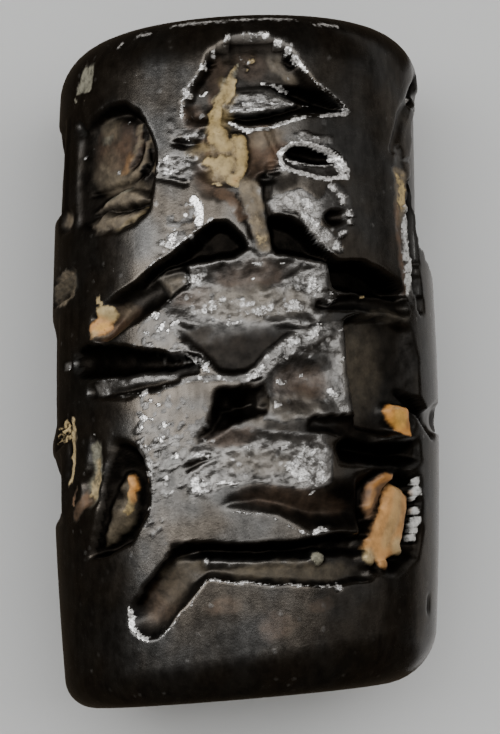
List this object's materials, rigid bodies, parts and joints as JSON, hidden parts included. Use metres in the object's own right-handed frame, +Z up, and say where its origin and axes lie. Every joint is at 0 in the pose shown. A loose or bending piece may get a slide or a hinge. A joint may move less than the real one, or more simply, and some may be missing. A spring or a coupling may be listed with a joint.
{
  "type": "cylinder seal",
  "caption": "Ancient cylinder seal of black polished stone: a small barrel carved all round with a kneeling figure and bored lengthwise for a cord, lying on a small flat spot.",
  "frame": {"origin": "under the middle of the seal, on the surface that it lies on", "axes": "+Y along the bore towards the head end of the carved figure, +Z up out of the carved figure, +X to the right of the scene as seen from above"},
  "size_m": [0.0134, 0.0232, 0.0131],
  "materials": {
    "stone": "polished near-black iron stone with a dull metal gloss, rough grey cuts and old pale and orange soil in the hollows"
  },
  "bodies": {
    "root": {"seal": "stone"}
  },
  "joints": []
}
